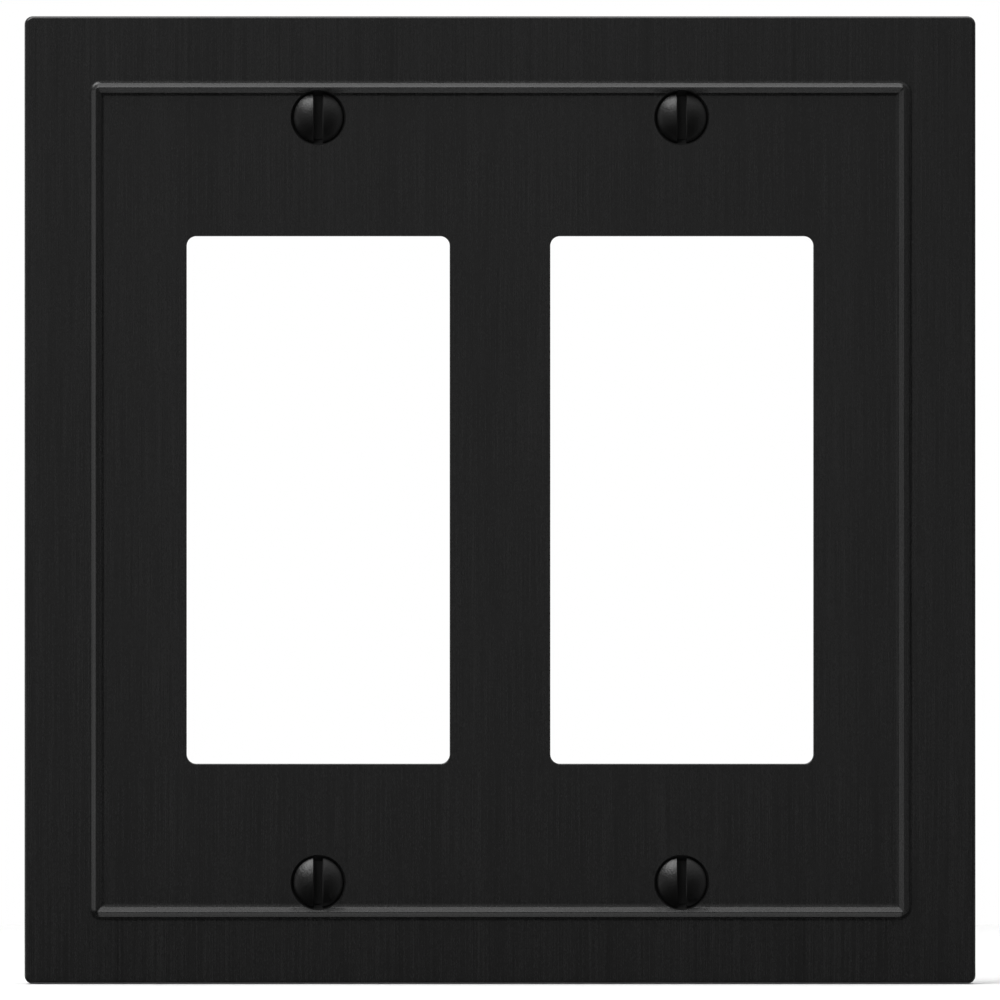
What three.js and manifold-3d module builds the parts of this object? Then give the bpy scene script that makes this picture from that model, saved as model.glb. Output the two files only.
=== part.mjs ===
// Two-gang wall plate cover for rocker devices: one formed steel cover and its four screws.
// Millimetres. +X is right, +Z is up, the front faces -Y, and the wall is the plane y = 0.
//
// Every piece is drawn lying down, with its local z measured out from the wall, and the whole
// group is then tipped up so that local z becomes -Y.

import * as THREE from 'three';
import { mergeVertices } from 'three/addons/utils/BufferGeometryUtils.js';
import Module from 'manifold-3d';

// Cover: outline, sheet and the heights of its front faces above the wall
const PLATE_WIDTH = 120.4;
const PLATE_HEIGHT = 122.5;
const CORNER_RADIUS = 1.05;
const SHEET = 0.9;
const FLANGE_Z = 5.6;
const EDGE_ROUND = 0.4;

// Bead: a ridge with two 45 degree faces, between the outer flange and the panel,
// which lies a little lower
const CREST_INSET = 9.05;
const CREST_FLAT = 0.1;
const BEAD_RISE = 0.7;
const PANEL_DROP = 0.1;
const BEAD_CORNER_RADIUS = 1.0;

// Rocker openings and screw holes, on the standard gang spacing of 1 13/16 in
const GANG_PITCH = 46.04;
const OPENING_WIDTH = 33.3;
const OPENING_HEIGHT = 66.8;
const OPENING_RADIUS = 1.2;
const SCREW_PITCH = 96.84;

// Formed countersink: a short straight mouth above the cone
const HALF_ANGLE = THREE.MathUtils.degToRad(41);
const MOUTH_RADIUS = 3.465;
const MOUTH_DEPTH = 0.3;
const HOLE_RADIUS = 2.0;
const DIMPLE_WALL = 0.75;
const DIMPLE_LIP = 0.45;

// 6-32 oval-head screw, 5/8 in long from the widest part of its head
const HEAD_RADIUS = 3.15;
const HEAD_LAND = 0.25;
const DOME_HEIGHT = 0.98;
const SHANK_RADIUS = 1.75;
const SCREW_LENGTH = 15.875;
const TIP_CHAMFER = 0.5;
const SLOT_WIDTH = 1.1;
const SLOT_DEPTH = 1.7;
const HEAD_CLEARANCE = 0.08;

const ARC_STEPS = 6;
const TURN_STEPS = 48;
const BEHIND = 4;

const PANEL_Z = FLANGE_Z - PANEL_DROP;
const CONE_Z = PANEL_Z - MOUTH_DEPTH;

const wasm = await Module();
wasm.setup();

/** A closed three.js geometry as a solid for joining and cutting. */
function solid(geometry) {
  geometry.deleteAttribute('normal');
  geometry.deleteAttribute('uv');
  const merged = mergeVertices(geometry);
  return new wasm.Manifold(new wasm.Mesh({
    numProp: 3,
    vertProperties: new Float32Array(merged.attributes.position.array),
    triVerts: new Uint32Array(merged.index.array),
  }));
}

/** A finished solid as a named mesh. */
function piece(name, body, material) {
  const { vertProperties, triVerts } = body.getMesh();
  const geometry = new THREE.BufferGeometry();
  geometry.setAttribute('position', new THREE.BufferAttribute(vertProperties, 3));
  geometry.setIndex(new THREE.BufferAttribute(triVerts, 1));
  geometry.computeVertexNormals();
  const mesh = new THREE.Mesh(geometry, material);
  mesh.name = name;
  return mesh;
}

/** A rectangle about the origin with rounded corners, or sharp ones where radius is 0. */
function rectangle(width, height, radius) {
  const x = width / 2;
  const y = height / 2;
  const shape = new THREE.Shape();
  if (radius === 0) {
    return new THREE.Shape([
      new THREE.Vector2(-x, -y), new THREE.Vector2(x, -y),
      new THREE.Vector2(x, y), new THREE.Vector2(-x, y),
    ]);
  }
  shape.absarc(x - radius, y - radius, radius, 0, Math.PI / 2);
  shape.absarc(radius - x, y - radius, radius, Math.PI / 2, Math.PI);
  shape.absarc(radius - x, radius - y, radius, Math.PI, 1.5 * Math.PI);
  shape.absarc(x - radius, radius - y, radius, 1.5 * Math.PI, 2 * Math.PI);
  shape.closePath();
  return shape;
}

/** The plate's outline moved inwards by inset. */
function outline(inset, radius) {
  return rectangle(PLATE_WIDTH - 2 * inset, PLATE_HEIGHT - 2 * inset, radius);
}

/**
 * A slab of the shape from z0 to z1. Both of its faces are drawn in by edge over a depth of
 * edge: as a 45 degree face in 1 step, or as a round in more.
 */
function slab(shape, z0, z1, edge = 0, edgeSteps = 1) {
  const geometry = new THREE.ExtrudeGeometry(shape, {
    depth: z1 - z0 - 2 * edge,
    curveSegments: ARC_STEPS,
    bevelEnabled: edge > 0,
    bevelThickness: edge,
    bevelSize: edge,
    bevelOffset: -edge,
    bevelSegments: edgeSteps,
  });
  geometry.translate(0, 0, z0 + edge);
  return solid(geometry);
}

/** A solid turned about local z, from [radius, z] points that run up from the axis and back. */
function turned(profile) {
  const points = profile.map(([radius, z]) => new THREE.Vector2(radius, z));
  const geometry = new THREE.LatheGeometry(points, TURN_STEPS);
  geometry.rotateX(Math.PI / 2);
  return solid(geometry);
}

/** A box about local z. */
function block(width, height, z0, z1) {
  return solid(new THREE.BoxGeometry(width, height, z1 - z0).translate(0, 0, (z0 + z1) / 2));
}

/** The countersink's radius at height z, for a cone moved inwards by gap. */
function coneRadius(z, gap = 0) {
  return MOUTH_RADIUS - (CONE_Z - z) * Math.tan(HALF_ANGLE) - gap / Math.cos(HALF_ANGLE);
}

/** The height at which that cone has this radius. */
function coneHeight(radius, gap = 0) {
  return CONE_Z - (MOUTH_RADIUS - gap / Math.cos(HALF_ANGLE) - radius) / Math.tan(HALF_ANGLE);
}

/**
 * Everything from behind the wall plane up to a face of the sheet: its front face at depth 0,
 * its back face at depth SHEET. Where a 45 degree face and a flat one both move by depth, the
 * bead between them gets lower, and rounds get tighter.
 */
function form(depth) {
  const rise = BEAD_RISE - depth * (Math.SQRT2 - 1);
  const flange = FLANGE_Z - depth;
  const crest = flange + rise;
  const panel = PANEL_Z - depth;
  const round = Math.max(EDGE_ROUND - depth, 0);
  const body = slab(outline(depth, CORNER_RADIUS - depth), -BEHIND, flange, round, 3);
  const bead = slab(outline(CREST_INSET - rise, BEAD_CORNER_RADIUS), -BEHIND, crest, rise);
  const well = slab(
    outline(CREST_INSET + CREST_FLAT, 0), panel, crest + BEHIND + (crest - panel), crest - panel);
  return body.add(bead).subtract(well);
}

/** The cone of sheet pressed back around a screw, before its hole is cut. */
function dimpleBoss() {
  const bottom = coneHeight(HOLE_RADIUS) - DIMPLE_LIP;
  const top = PANEL_Z - SHEET / 4;
  return turned([
    [0, bottom],
    [coneRadius(bottom, -DIMPLE_WALL), bottom],
    [coneRadius(top, -DIMPLE_WALL), top],
    [0, top],
  ]);
}

/** The screw's hole: straight through the bead and its mouth, an 82 degree cone, then the bore. */
function countersink() {
  return turned([
    [0, -BEHIND],
    [HOLE_RADIUS, -BEHIND],
    [HOLE_RADIUS, coneHeight(HOLE_RADIUS)],
    [MOUTH_RADIUS, CONE_Z],
    [MOUTH_RADIUS, FLANGE_Z + BEHIND],
    [0, FLANGE_Z + BEHIND],
  ]);
}

/** The cover: the formed sheet, cut off flat where its skirt meets the wall. */
function wallPlate() {
  const behindWall = block(2 * PLATE_WIDTH, 2 * PLATE_HEIGHT, -2 * BEHIND, 0);
  const opening = slab(
    rectangle(OPENING_WIDTH, OPENING_HEIGHT, OPENING_RADIUS), -BEHIND, FLANGE_Z + BEHIND);
  let plate = form(0).subtract(form(SHEET)).subtract(behindWall);
  for (const x of [-GANG_PITCH / 2, GANG_PITCH / 2]) {
    for (const y of [-SCREW_PITCH / 2, SCREW_PITCH / 2]) {
      plate = plate.add(dimpleBoss().translate([x, y, 0]));
      plate = plate.subtract(countersink().translate([x, y, 0]));
    }
    plate = plate.subtract(opening.translate([x, 0, 0]));
  }
  return plate;
}

/** Slotted oval-head machine screw, seated in its countersink with a running clearance. */
function screw() {
  const rim = coneHeight(HEAD_RADIUS, HEAD_CLEARANCE);
  const domeBase = rim + HEAD_LAND;
  const domeRadius = (HEAD_RADIUS ** 2 + DOME_HEIGHT ** 2) / (2 * DOME_HEIGHT);
  const domeAngle = Math.asin(HEAD_RADIUS / domeRadius);
  const tip = rim - SCREW_LENGTH;
  const profile = [
    [0, tip],
    [SHANK_RADIUS - TIP_CHAMFER, tip],
    [SHANK_RADIUS, tip + TIP_CHAMFER],
    [SHANK_RADIUS, coneHeight(SHANK_RADIUS, HEAD_CLEARANCE)],
    [HEAD_RADIUS, rim],
  ];
  for (let step = 0; step < ARC_STEPS; step += 1) {
    const angle = domeAngle * (1 - step / ARC_STEPS);
    const height = domeRadius * (Math.cos(angle) - Math.cos(domeAngle));
    profile.push([domeRadius * Math.sin(angle), domeBase + height]);
  }
  const top = domeBase + DOME_HEIGHT;
  profile.push([0, top]);
  return turned(profile).subtract(block(SLOT_WIDTH, 3 * HEAD_RADIUS, top - SLOT_DEPTH, top + 1));
}

const blackPlate = new THREE.MeshStandardMaterial({
  color: 0x1c1c1c, roughness: 0.45, metalness: 0.6, flatShading: true,
});
const blackScrew = new THREE.MeshStandardMaterial({
  color: 0x141414, roughness: 0.35, metalness: 0.6, flatShading: true,
});

const cover = new THREE.Group();
cover.add(piece('wall_plate', wallPlate(), blackPlate));

const screwBody = screw();
for (const [side, x] of [['left', -1], ['right', 1]]) {
  for (const [end, y] of [['bottom', -1], ['top', 1]]) {
    const mesh = piece(`screw_${end}_${side}`, screwBody, blackScrew);
    mesh.position.set(x * GANG_PITCH / 2, y * SCREW_PITCH / 2, 0);
    cover.add(mesh);
  }
}

cover.rotation.x = Math.PI / 2;

export default cover;
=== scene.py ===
import math

import bmesh
import bpy
import numpy as np
from mathutils import Matrix, Vector


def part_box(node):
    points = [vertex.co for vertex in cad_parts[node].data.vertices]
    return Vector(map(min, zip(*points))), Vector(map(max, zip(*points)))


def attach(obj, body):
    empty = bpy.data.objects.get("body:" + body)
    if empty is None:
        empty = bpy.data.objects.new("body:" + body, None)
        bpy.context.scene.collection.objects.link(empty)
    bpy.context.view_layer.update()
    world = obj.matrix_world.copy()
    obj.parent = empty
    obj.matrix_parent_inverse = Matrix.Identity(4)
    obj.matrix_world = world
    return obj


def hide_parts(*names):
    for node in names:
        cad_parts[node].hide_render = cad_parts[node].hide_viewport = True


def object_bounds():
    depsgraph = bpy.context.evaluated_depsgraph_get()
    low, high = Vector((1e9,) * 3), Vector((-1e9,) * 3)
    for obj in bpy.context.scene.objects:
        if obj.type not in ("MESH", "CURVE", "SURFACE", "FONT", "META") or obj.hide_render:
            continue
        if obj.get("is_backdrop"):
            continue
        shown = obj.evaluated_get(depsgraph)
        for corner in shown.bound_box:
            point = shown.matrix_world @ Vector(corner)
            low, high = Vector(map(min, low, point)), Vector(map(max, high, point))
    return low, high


# Two-gang rocker wall plate in brushed black, with four slotted oval-head screws.
# Metres, in the CAD's frame: +X right, +Z up, the front faces -Y and the wall is at y = 0.
# Lengths below are in millimetres and are turned into metres where a mesh is made.
# A height is the distance out from the wall, so it is -y.

MM = 0.001

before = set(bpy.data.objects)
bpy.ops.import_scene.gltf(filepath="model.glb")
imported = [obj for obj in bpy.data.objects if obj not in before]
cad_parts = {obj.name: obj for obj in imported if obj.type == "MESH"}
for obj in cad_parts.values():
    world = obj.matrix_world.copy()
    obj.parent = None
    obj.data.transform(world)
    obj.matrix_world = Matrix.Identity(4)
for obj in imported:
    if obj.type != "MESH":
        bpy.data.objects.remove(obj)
cad_low, cad_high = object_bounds()

# ---------------------------------------------------------------- driving dimensions
plate_low, plate_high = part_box("wall_plate")
PLATE_W = (plate_high.x - plate_low.x) / MM
PLATE_H = (plate_high.z - plate_low.z) / MM
CREST = -plate_low.y / MM

BEAD_RISE = 0.7
PANEL_DROP = 0.1
FLANGE = CREST - BEAD_RISE
PANEL = FLANGE - PANEL_DROP
SHEET = 0.9
CORNER_RADIUS = 1.05
EDGE_ROUND = 0.4
SKIRT_BREAK = 0.12

# The bead: a face on either side of its crest ends this far from the crest and RAMP_RISE above
# the flat, and a shallow ramp runs from there down to the flat
CREST_INSET = 9.05
OUTER_FACE, OUTER_RAMP = 0.56, 0.92
INNER_FACE, INNER_RAMP = 0.62, 0.95
RAMP_RISE = 0.13
RAMP_RADIUS = 0.9
FACE_RADIUS = 0.12
CREST_RADIUS = 0.09
CREST_LIFT = 0.03

# Corner radius of the cover's plan against the distance in from its edge
PLAN_INSETS = (0, EDGE_ROUND, SHEET, 7.8, 8.5, CREST_INSET, CREST_INSET + 0.12)
PLAN_RADII = (CORNER_RADIUS, CORNER_RADIUS - EDGE_ROUND, 0.3, 2.1, 1.2, 0.4, 0.03)

OPENING_W, OPENING_H, OPENING_RADIUS = 33.3, 66.8, 1.2
EDGE_ROLL = 0.16

# The countersinks, and the sheet pressed back round them
HALF_ANGLE = math.radians(41)
MOUTH_RADIUS = 3.465
MOUTH_DEPTH = 0.3
MOUTH_ROLL = 0.04
HOLE_RADIUS = 2.0
DIMPLE_WALL = 0.75
DIMPLE_LIP = 0.45
DIMPLE_BLEND = 0.62
CONE_TOP = PANEL - MOUTH_DEPTH

# Cutters reach this far past the cover, and turned bodies start this far off their axis
CUT_MARGIN = 2
CORE_RADIUS = 0.5

# The screws
HEAD_RADIUS = 3.15
HEAD_BREAK = 0.03
HEAD_LAND = 0.25
DOME_HEIGHT = 0.98
HEAD_CLEARANCE = 0.08
SLOT_WIDTH = 1.1
SLOT_DEPTH = 1.7
SLOT_CHAMFER = 0.12
THREAD_PITCH = 25.4 / 32
THREAD_CREST = 1.74
THREAD_ROOT = 1.32
TIP_RADIUS = 1.25

SMOOTH_ANGLE = math.radians(32)

SCREWS = [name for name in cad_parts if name.startswith("screw_")]


# ---------------------------------------------------------------- mesh helpers
def new_object(name, mesh):
    made = bpy.data.objects.new(name, mesh)
    bpy.context.scene.collection.objects.link(made)
    return made


def mesh_from(name, points, faces):
    """A mesh object from points in millimetres (x, height, z), with its faces turned outwards."""
    mesh = bpy.data.meshes.new(name)
    mesh.from_pydata([(x * MM, -h * MM, z * MM) for x, h, z in points], [], faces)
    clean = bmesh.new()
    clean.from_mesh(mesh)
    bmesh.ops.remove_doubles(clean, verts=clean.verts, dist=1e-4 * MM)
    bmesh.ops.dissolve_degenerate(clean, edges=clean.edges, dist=1e-5 * MM)
    bmesh.ops.holes_fill(clean, edges=clean.edges, sides=4)
    bmesh.ops.recalc_face_normals(clean, faces=clean.faces)
    clean.to_mesh(mesh)
    clean.free()
    return new_object(name, mesh)


def combine(target, tool, operation):
    """Adds the tool to the target, or cuts it away, and removes the tool."""
    modifier = target.modifiers.new("combine", "BOOLEAN")
    modifier.operation = operation
    modifier.solver = "MANIFOLD"
    modifier.object = tool
    bpy.context.view_layer.update()
    shaped = target.evaluated_get(bpy.context.evaluated_depsgraph_get())
    mesh = bpy.data.meshes.new_from_object(shaped)
    target.modifiers.remove(modifier)
    target.data = mesh
    bpy.data.objects.remove(tool)


def smooth(piece):
    """Edges that bend less than SMOOTH_ANGLE shade smoothly, and flat faces stay flat."""
    for polygon in piece.data.polygons:
        polygon.use_smooth = True
    work = bmesh.new()
    work.from_mesh(piece.data)
    for edge in work.edges:
        faces = edge.link_faces
        edge.smooth = len(faces) == 2 and faces[0].normal.angle(faces[1].normal, 0) < SMOOTH_ANGLE
    work.to_mesh(piece.data)
    work.free()
    weighted = piece.modifiers.new("weighted", "WEIGHTED_NORMAL")
    weighted.keep_sharp = True
    weighted.weight = 100


def rounded_path(corners, steps=5):
    """A polyline of (inset, height) through corners of (inset, height, radius), each one rounded."""
    path = []
    for before, corner, after in zip(corners, corners[1:], corners[2:]):
        point = Vector(corner[:2])
        back = (Vector(before[:2]) - point).normalized()
        ahead = (Vector(after[:2]) - point).normalized()
        radius = corner[2]
        turn = math.pi - back.angle(ahead)
        if radius == 0 or turn < 1e-3:
            path.append(tuple(point))
            continue
        reach = radius * math.tan(turn / 2)
        centre = point + (back + ahead).normalized() * (radius / math.cos(turn / 2))
        start = point + back * reach - centre
        finish = point + ahead * reach - centre
        for step in range(steps + 1):
            path.append(tuple(centre + radius * start.slerp(finish, step / steps)))
    return [tuple(corners[0][:2])] + path + [tuple(corners[-1][:2])]


def rounded_rectangle(width, height, radius, steps=8):
    """Points (x, z) round a rectangle about the origin, anticlockwise from its right side."""
    points = []
    for quarter in range(4):
        sign_x = 1 if quarter in (0, 3) else -1
        sign_z = 1 if quarter < 2 else -1
        for step in range(steps + 1):
            angle = math.pi / 2 * (quarter + step / steps)
            points.append((
                sign_x * (width / 2 - radius) + radius * math.cos(angle),
                sign_z * (height / 2 - radius) + radius * math.sin(angle),
            ))
    return points


def band(low, count):
    """The quads between a ring of points, the first of which is low, and the ring after it."""
    high = low + count
    pairs = [(i, (i + 1) % count) for i in range(count)]
    return [(low + i, low + j, high + j, high + i) for i, j in pairs]


def caps(points, count):
    """The faces that close the first and the last ring."""
    return [tuple(range(count)), tuple(range(len(points) - count, len(points)))]


def loft(name, rings):
    """A closed body through rings of (x, height, z) points, capped at both ends."""
    count = len(rings[0])
    points = [point for ring in rings for point in ring]
    faces = caps(points, count)
    for level in range(len(rings) - 1):
        faces += band(level * count, count)
    return mesh_from(name, points, faces)


def turned(name, profile, x, z, steps=96):
    """A body turned about the line through (x, z), from (radius, height) points off the axis."""
    rings = []
    for radius, height in profile:
        ring = []
        for i in range(steps):
            angle = 2 * math.pi * i / steps
            ring.append((x + radius * math.cos(angle), height, z + radius * math.sin(angle)))
        rings.append(ring)
    return loft(name, rings)


# ---------------------------------------------------------------- the cover
def cover_section():
    """The sheet's section: from the panel's front, round the skirt, to the panel's back."""
    crest_back = CREST - SHEET * math.sqrt(2)
    panel_edge = CREST_INSET + INNER_RAMP + 0.5
    back = FLANGE - SHEET
    panel_back = PANEL - SHEET
    return rounded_path([
        (panel_edge, PANEL, 0),
        (CREST_INSET + INNER_RAMP, PANEL, RAMP_RADIUS),
        (CREST_INSET + INNER_FACE, PANEL + RAMP_RISE, FACE_RADIUS),
        (CREST_INSET, CREST + CREST_LIFT, CREST_RADIUS),
        (CREST_INSET - OUTER_FACE, FLANGE + RAMP_RISE, FACE_RADIUS),
        (CREST_INSET - OUTER_RAMP, FLANGE, RAMP_RADIUS),
        (0, FLANGE, EDGE_ROUND),
        (0, 0, SKIRT_BREAK),
        (SHEET, 0, SKIRT_BREAK),
        (SHEET, back, 0.35),
        (CREST_INSET - (crest_back - back), back, 0.5),
        (CREST_INSET, crest_back, 0.25),
        (CREST_INSET + (crest_back - panel_back), panel_back, 0.5),
        (panel_edge, panel_back, 0),
    ])


def cover_body():
    """The whole formed sheet, before its holes. Its two caps are the front and back of the panel."""
    rings = []
    for inset, height in cover_section():
        radius = float(np.interp(inset, PLAN_INSETS, PLAN_RADII))
        ring = rounded_rectangle(PLATE_W - 2 * inset, PLATE_H - 2 * inset, radius)
        rings.append([(x, height, z) for x, z in ring])
    return loft("cover", rings)


def cone_radius(height, gap=0.0):
    """The countersink's radius at this height, for a cone moved inwards by the gap."""
    return MOUTH_RADIUS - (CONE_TOP - height) * math.tan(HALF_ANGLE) - gap / math.cos(HALF_ANGLE)


def cone_height(radius, gap=0.0):
    """The height at which that cone has this radius."""
    lost = MOUTH_RADIUS - gap / math.cos(HALF_ANGLE) - radius
    return CONE_TOP - lost / math.tan(HALF_ANGLE)


def dimple_boss(x, z):
    """The sheet pressed back round a screw, blended into the back of the panel."""
    bottom = cone_height(HOLE_RADIUS) - DIMPLE_LIP
    top = PANEL - SHEET / 4
    panel_back = PANEL - SHEET
    root = cone_radius(panel_back, -DIMPLE_WALL)
    section = rounded_path([
        (CORE_RADIUS, bottom, 0),
        (cone_radius(bottom, -DIMPLE_WALL), bottom, 0.25),
        (root, panel_back + 0.02, 0.8),
        (root + DIMPLE_BLEND, panel_back + 0.03, 0),
        (root + DIMPLE_BLEND + 0.02, top, 0),
        (CORE_RADIUS, top, 0),
    ])
    return turned("dimple", section, x, z)


def countersink(x, z):
    """The cutter for a screw's hole, with its mouth slightly rolled over."""
    section = rounded_path([
        (CORE_RADIUS, -CUT_MARGIN, 0),
        (HOLE_RADIUS, -CUT_MARGIN, 0),
        (HOLE_RADIUS, cone_height(HOLE_RADIUS), 0.12),
        (MOUTH_RADIUS, CONE_TOP, 0.05),
        (MOUTH_RADIUS, PANEL - MOUTH_ROLL, 0.03),
        (MOUTH_RADIUS + MOUTH_ROLL, PANEL + 0.005, 0.01),
        (MOUTH_RADIUS + MOUTH_ROLL, CREST + CUT_MARGIN, 0),
        (CORE_RADIUS, CREST + CUT_MARGIN, 0),
    ])
    return turned("countersink", section, x, z)


def opening(x):
    """The cutter for one rocker opening, with the rolled front edge of a punched hole."""
    section = [(0, -CUT_MARGIN)]
    section += [
        (EDGE_ROLL * (1 - math.cos(a)), PANEL - EDGE_ROLL + (EDGE_ROLL + 0.004) * math.sin(a))
        for a in np.linspace(0, math.pi / 2, 6)
    ]
    section.append((EDGE_ROLL + 0.01, CREST + CUT_MARGIN))
    rings = []
    for grow, height in section:
        ring = rounded_rectangle(
            OPENING_W + 2 * grow, OPENING_H + 2 * grow, OPENING_RADIUS + grow, steps=10)
        rings.append([(x + px, height, pz) for px, pz in ring])
    return loft("opening", rings)


def make_cover(centres):
    """The detailed cover, with a countersink at each of the screws' centres (x, z)."""
    cover = cover_body()
    for x, z in centres:
        combine(cover, dimple_boss(x, z), "UNION")
    for x, z in centres:
        combine(cover, countersink(x, z), "DIFFERENCE")
    for x in sorted({x for x, z in centres}):
        combine(cover, opening(x), "DIFFERENCE")
    smooth(cover)
    cover.name = "brushed_cover"
    return cover


# ---------------------------------------------------------------- the screws
THREAD_STEPS = 48
# How far the thread stands out over one pitch: 0 is its root and 1 its crest
THREAD_SHAPE = (0.0, 0.0, 0.5, 1.0, 1.0, 0.5)

RIM = cone_height(HEAD_RADIUS, HEAD_CLEARANCE)
DOME_BASE = RIM + HEAD_LAND
DOME_SPHERE = (HEAD_RADIUS ** 2 + DOME_HEIGHT ** 2) / (2 * DOME_HEIGHT)


def dome_height(reach):
    """Height of the dome at this distance from the screw's axis."""
    centre = DOME_BASE + DOME_HEIGHT - DOME_SPHERE
    return centre + math.sqrt(DOME_SPHERE ** 2 - reach ** 2)


def circle(radius, height):
    """A ring of the screw."""
    turns = [2 * math.pi * i / THREAD_STEPS for i in range(THREAD_STEPS)]
    return [(radius * math.cos(a), height, radius * math.sin(a)) for a in turns]


def head_rings():
    """The head from the top of its dome to the plain neck under its cone."""
    neck = cone_height(THREAD_CREST, HEAD_CLEARANCE)
    shoulder = HEAD_RADIUS - HEAD_BREAK
    reaches = np.linspace(shoulder / 16, shoulder - 0.02, 17)
    rings = [circle(reach, dome_height(reach)) for reach in reaches]
    side = rounded_path([
        (shoulder, dome_height(shoulder), 0),
        (HEAD_RADIUS, DOME_BASE, HEAD_BREAK),
        (HEAD_RADIUS, RIM, 0.05),
        (THREAD_CREST, neck, 0.25),
        (THREAD_CREST, neck - 0.5, 0),
    ], steps=3)
    return rings + [circle(radius, height) for radius, height in side]


def thread_rows(top, tip):
    """Helical rows of a right-hand thread, run out at the neck and chamfered at the tip."""
    samples = len(THREAD_SHAPE)
    rows = []
    for row in range(samples * (math.ceil((top - tip) / THREAD_PITCH) + 2)):
        points = []
        for i in range(THREAD_STEPS):
            share = i / THREAD_STEPS
            height = top + THREAD_PITCH * (share - row / samples)
            run_out = min(max((top - height) / THREAD_PITCH, 0), 1)
            depth = (THREAD_CREST - THREAD_ROOT) * (1 - THREAD_SHAPE[row % samples]) * run_out
            height = min(max(height, tip), top)
            radius = min(THREAD_CREST - depth, TIP_RADIUS + height - tip)
            angle = 2 * math.pi * share
            points.append((radius * math.cos(angle), height, radius * math.sin(angle)))
        rows.append(points)
    return rows


def screw_blank(tip):
    """Head, neck and thread as one closed skin. A thread row's end meets the row a turn above it."""
    head = head_rings()
    rows = thread_rows(head[-1][0][1], tip)
    samples = len(THREAD_SHAPE)
    points = [point for ring in head + rows for point in ring]
    faces = caps(points, THREAD_STEPS)
    for level in range(len(head) - 1):
        faces += band(level * THREAD_STEPS, THREAD_STEPS)
    first = len(head) * THREAD_STEPS
    for row in range(len(rows) - 1):
        low = first + row * THREAD_STEPS
        end = low + THREAD_STEPS - 1
        faces += band(low, THREAD_STEPS)[:-1]
        above = first + max(row - samples, 0) * THREAD_STEPS
        above_next = first + max(row + 1 - samples, 0) * THREAD_STEPS
        faces.append((end, above, above_next, end + THREAD_STEPS))
    return mesh_from("screw", points, faces)


def slot_cutter():
    """The slot across the head, with a small 45 degree break along its top edges."""
    half = SLOT_WIDTH / 2
    reach = 1.3 * HEAD_RADIUS
    floor = DOME_BASE + DOME_HEIGHT - SLOT_DEPTH
    rings = []
    for z in np.linspace(-reach, reach, 40):
        edge = dome_height(min(math.hypot(half, z), 1.05 * HEAD_RADIUS))
        right = [
            (half, floor),
            (half, edge - SLOT_CHAMFER),
            (half + SLOT_CHAMFER, edge + 0.01),
            (half + SLOT_CHAMFER, DOME_BASE + 2 * DOME_HEIGHT),
        ]
        left = [(-x, height) for x, height in reversed(right)]
        rings.append([(x, height, z) for x, height in right + left])
    return loft("slot", rings)


def coat(piece, material):
    """This material alone on the whole piece."""
    piece.data.materials.clear()
    piece.data.materials.append(material)


def make_screw(node, x, z, material):
    """A detailed screw in the place of one CAD screw, with its axis at (x, z) in metres."""
    screw = screw_blank(tip=-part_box(node)[1].y / MM)
    combine(screw, slot_cutter(), "DIFFERENCE")
    smooth(screw)
    screw.name = node.replace("screw_", "oval_head_screw_")
    screw.data.transform(Matrix.Translation((x, 0, z)))
    coat(screw, material)
    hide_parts(node)
    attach(screw, node)


# ---------------------------------------------------------------- materials
def dress(tree, node, inputs):
    """Sets a node's inputs to values, or links them from sockets."""
    for key, value in inputs.items():
        if isinstance(value, bpy.types.NodeSocket):
            tree.links.new(value, node.inputs[key])
        else:
            node.inputs[key].default_value = value


def add_node(tree, kind, inputs=None, **settings):
    """A new node with these settings and inputs."""
    made = tree.nodes.new(kind)
    for key, value in settings.items():
        setattr(made, key, value)
    dress(tree, made, inputs or {})
    return made


def noise(tree, where, width, length, detail=2.0, roughness=0.5):
    """Noise with features of this width, drawn out along Z to this length, in millimetres."""
    across, along = 1 / (width * MM), 1 / (length * MM)
    stretched = add_node(tree, "ShaderNodeMapping", {
        "Vector": where, "Scale": (across, across, along),
    }).outputs["Vector"]
    return add_node(tree, "ShaderNodeTexNoise", {
        "Vector": stretched, "Scale": 1.0, "Detail": detail, "Roughness": roughness,
    }).outputs["Fac"]


def deeper_than(tree, where, height, fade=0.15):
    """1 on faces nearer the wall than this height, and 0 on faces in front of it."""
    depth = add_node(tree, "ShaderNodeSeparateXYZ", {"Vector": where}).outputs["Y"]
    return add_node(tree, "ShaderNodeMapRange", {
        "Value": depth, "From Min": -height * MM, "From Max": -(height - fade) * MM,
    }).outputs["Result"]


def blend_values(tree, a, b, share):
    """a where the share is 0 and b where it is 1."""
    return add_node(tree, "ShaderNodeMix", {0: share, 2: a, 3: b}, data_type="FLOAT").outputs[0]


def blend_colours(tree, a, b, share):
    """Colour a where the share is 0 and colour b where it is 1."""
    return add_node(tree, "ShaderNodeMix", {
        0: share, 6: (*a, 1), 7: (*b, 1),
    }, data_type="RGBA").outputs[2]


def relief(tree, height, strength, depth):
    """The normal of a surface whose texture is this deep, in millimetres."""
    return add_node(tree, "ShaderNodeBump", {
        "Height": height, "Strength": strength, "Distance": depth * MM,
    }).outputs["Normal"]


def new_material(name):
    """A material, its node tree and its shader."""
    material = bpy.data.materials.new(name)
    material.use_nodes = True
    tree = material.node_tree
    return material, tree, tree.nodes["Principled BSDF"]


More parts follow.
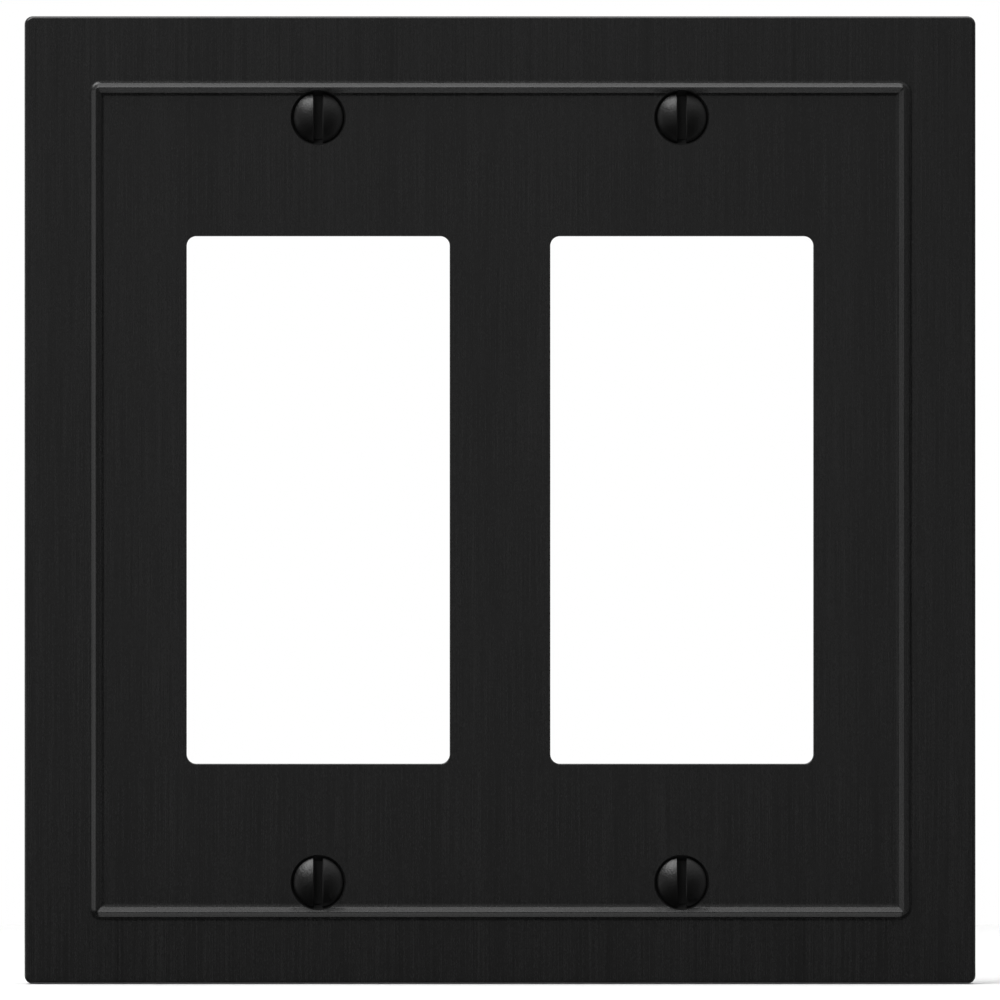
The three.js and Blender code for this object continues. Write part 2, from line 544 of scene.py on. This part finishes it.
def brushed_black():
    """Black finish over steel that was brushed up and down before it was formed."""
    material, tree, shader = new_material("brushed_black")
    where = add_node(tree, "ShaderNodeTexCoord").outputs["Object"]
    long = noise(tree, where, width=0.055, length=16.0, detail=1.0)
    short = noise(tree, where, width=0.06, length=0.3, detail=0.0)
    medium = noise(tree, where, width=0.5, length=30.0, detail=1.0)
    broad = noise(tree, where, width=5.0, length=150.0, detail=1.0)
    fine = blend_values(tree, long, short, 0.4)
    grain = blend_values(tree, blend_values(tree, fine, medium, 0.14), broad, 0.1)
    tone = add_node(tree, "ShaderNodeMapRange", {
        "Value": grain, "From Min": 0.36, "From Max": 0.64,
    }).outputs["Result"]
    colour = blend_colours(tree, (0.002, 0.002, 0.002), (0.011, 0.011, 0.0111), tone)
    polish = blend_values(tree, 0.18, 0.3, tone)
    # Faces behind the panel's front get a rougher finish and a much lower specular level. On the
    # back this is a duller finish; in the countersinks, dimples and opening walls it is painted
    # shade.
    painted_shade_and_dull_finish = deeper_than(tree, where, PANEL - 0.1)
    dress(tree, shader, {
        "Base Color": colour,
        "Roughness": blend_values(tree, polish, 0.55, painted_shade_and_dull_finish),
        "Specular IOR Level": blend_values(tree, 0.5, 0.15, painted_shade_and_dull_finish),
        "Normal": relief(tree, fine, 0.8, 0.006),
    })
    return material


def screw_black():
    """Semi-gloss black screw paint, slightly uneven."""
    material, tree, shader = new_material("screw_black")
    where = add_node(tree, "ShaderNodeTexCoord").outputs["Object"]
    skin = noise(tree, where, width=0.2, length=0.2, detail=3.0, roughness=0.65)
    polish = blend_values(tree, 0.27, 0.36, skin)
    # Faces below the head's rim get a rougher finish and a lower specular level: painted shade on
    # the slot floor and round the neck.
    painted_shade_and_dull_finish = deeper_than(tree, where, RIM)
    dress(tree, shader, {
        "Base Color": blend_colours(tree, (0.001, 0.001, 0.001), (0.004, 0.004, 0.004), skin),
        "Roughness": blend_values(tree, polish, 0.4, painted_shade_and_dull_finish),
        "Specular IOR Level": blend_values(tree, 0.5, 0.36, painted_shade_and_dull_finish),
        "Normal": relief(tree, skin, 0.9, 0.04),
    })
    return material


def floor_white():
    """Matt white board with a faint mottle."""
    material, tree, shader = new_material("floor_white")
    where = add_node(tree, "ShaderNodeTexCoord").outputs["Object"]
    mottle = noise(tree, where, width=30, length=30)
    colour = blend_colours(tree, (0.84, 0.84, 0.84), (0.88, 0.88, 0.88), mottle)
    dress(tree, shader, {"Base Color": colour, "Roughness": 0.9})
    return material


# ---------------------------------------------------------------- camera, floor and light
VIEW_WIDTH = 126.6
CAMERA_DISTANCE = 3000.0
SENSOR = 36.0
FLOOR_RADIUS = 420.0
FLOOR_SIDES = 96
FLOOR_GAP = 0.05

# Lamps: name, direction from the cover, distance, width and height in metres, power in watts
LAMPS = (
    ("key", (-0.38, -0.54, 0.75), 3.0, 1.5, 1.9, 63),
    ("overhead", (0.0, 0.03, 1.0), 0.6, 0.6, 0.44, 2.9),
    ("front", (-0.17, -0.97, 0.21), 0.72, 0.6, 0.46, 0.238),
)
# Soft light from all round: direction, cosines where it begins and is full, strength
ROOM = (
    ((-1, 0, 0), 0.84, 0.99, 1.15),
    ((-0.75, -0.6, 0.25), 0.74, 0.97, 0.16),
    ((1, 0, 0), 0.5, 1.0, 0.3),
    ((0, 0, -1), 0.9, 0.99, 1.2),
    ((0.71, 0, -0.71), 0.92, 0.99, 0.55),
    ((-0.71, 0, 0.71), 0.93, 0.99, 2.0),
    ((0.44, -0.47, 0.76), 0.75, 0.99, 0.62),
    ((0, 1, 0.2), 0.35, 0.95, 0.7),
)
ROOM_BASE = 0.01


def make_camera():
    """A long lens square to the cover's front, with VIEW_WIDTH in view at the flange."""
    data = bpy.data.cameras.new("camera")
    data.sensor_width = SENSOR
    data.lens = SENSOR * CAMERA_DISTANCE / VIEW_WIDTH
    data.clip_start, data.clip_end = 0.05, 50
    camera = new_object("camera", data)
    camera.location = (0, -(CAMERA_DISTANCE + FLANGE) * MM, 0)
    camera.rotation_euler = (math.pi / 2, 0, 0)
    bpy.context.scene.camera = camera


def make_floor():
    """A round pale board just under the cover, which the black paint doesn't mirror."""
    level = cad_low.z / MM - FLOOR_GAP
    turns = np.linspace(0, 2 * math.pi, FLOOR_SIDES, endpoint=False)
    points = [(FLOOR_RADIUS * math.cos(a), FLOOR_RADIUS * math.sin(a), level) for a in turns]
    floor = mesh_from("floor", points, [tuple(range(FLOOR_SIDES))])
    coat(floor, floor_white())
    floor.visible_glossy = False
    floor.visible_shadow = False
    floor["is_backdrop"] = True


def make_lamps():
    """Area lamps that the camera doesn't see, turned towards the cover."""
    for name, towards, distance, width, height, power in LAMPS:
        data = bpy.data.lights.new(name, "AREA")
        data.shape = "RECTANGLE"
        data.size, data.size_y = width, height
        data.energy = power
        lamp = new_object(name, data)
        direction = Vector(towards).normalized()
        lamp.location = direction * distance
        lamp.rotation_euler = direction.to_track_quat("Z", "Y").to_euler()
        lamp.visible_camera = False


def make_room():
    """A world that is white to the camera, and to the cover is dim light from the ROOM patches."""
    world = bpy.data.worlds.new("studio")
    bpy.context.scene.world = world
    world.use_nodes = True
    tree = world.node_tree
    tree.nodes.clear()
    towards = add_node(tree, "ShaderNodeTexCoord").outputs["Generated"]
    total = ROOM_BASE
    for direction, begins, full, strength in ROOM:
        cosine = add_node(tree, "ShaderNodeVectorMath", {0: towards, 1: direction},
                          operation="DOT_PRODUCT").outputs["Value"]
        share = add_node(tree, "ShaderNodeMapRange", {
            "Value": cosine, "From Min": begins, "From Max": full, "To Max": strength,
        }, interpolation_type="SMOOTHSTEP").outputs["Result"]
        total = add_node(tree, "ShaderNodeMath", {0: total, 1: share}, operation="ADD").outputs[0]
    seen = add_node(tree, "ShaderNodeBackground", {"Color": (1, 1, 1, 1), "Strength": 1.0})
    lit = add_node(tree, "ShaderNodeBackground", {"Color": (1, 1, 1, 1), "Strength": total})
    ray = add_node(tree, "ShaderNodeLightPath")
    mixed = add_node(tree, "ShaderNodeMixShader", {
        0: ray.outputs["Is Camera Ray"], 1: lit.outputs[0], 2: seen.outputs[0],
    })
    add_node(tree, "ShaderNodeOutputWorld", {"Surface": mixed.outputs[0]})


# ---------------------------------------------------------------- the scene
make_camera()
make_floor()
make_lamps()
make_room()
bpy.context.scene.view_settings.view_transform = "Standard"

centres = []
paint = screw_black()
for node in SCREWS:
    low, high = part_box(node)
    x, z = (low.x + high.x) / 2, (low.z + high.z) / 2
    centres.append((x / MM, z / MM))
    make_screw(node, x, z, paint)

cover = make_cover(centres)
coat(cover, brushed_black())
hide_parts("wall_plate")
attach(cover, "cover")

low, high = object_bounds()
